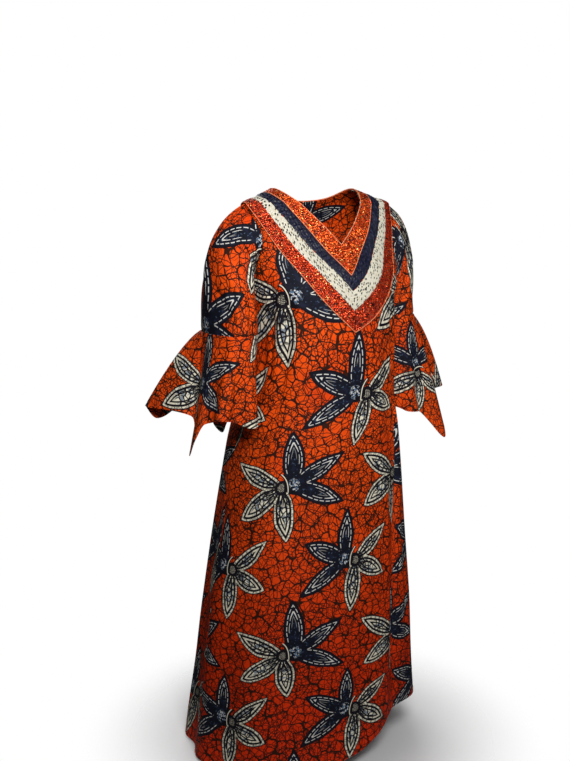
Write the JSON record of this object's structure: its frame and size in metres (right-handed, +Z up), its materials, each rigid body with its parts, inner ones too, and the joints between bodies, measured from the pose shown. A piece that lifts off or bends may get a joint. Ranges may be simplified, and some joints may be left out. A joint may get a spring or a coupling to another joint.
{
  "type": "ankara gown",
  "caption": "Floor-length printed cotton gown, A-line, with handkerchief-flounce half sleeves and a deep V neck edged in sequin, ribbon and lace bands.",
  "frame": {"origin": "on the shoulder line, midway between the neck ends of the two shoulder seams, where the wearer's shoulders carry the gown", "axes": "+Z up, -Y the way the wearer faces, +X to the wearer's left"},
  "size_m": [0.8533, 0.5161, 1.4523],
  "materials": {
    "print": "matt waxed cotton, printed orange with navy and cream flowers",
    "orange_sequin_lace": "lace sewn with small shiny sequins",
    "navy_ribbon": "satin ribbon gathered into a ruche",
    "cream_lace": "soft lace with dark specks",
    "rust_sequins": "close rows of shiny sequins"
  },
  "bodies": {
    "root": {"front": "print", "back_left": "print", "back_right": "print", "sleeve_right": "print", "sleeve_left": "print", "flounce_right": "print", "flounce_left": "print", "neck_band_inner": "orange_sequin_lace", "neck_band_navy": "navy_ribbon", "neck_band_cream": "cream_lace", "neck_band_outer": "rust_sequins"}
  },
  "joints": []
}
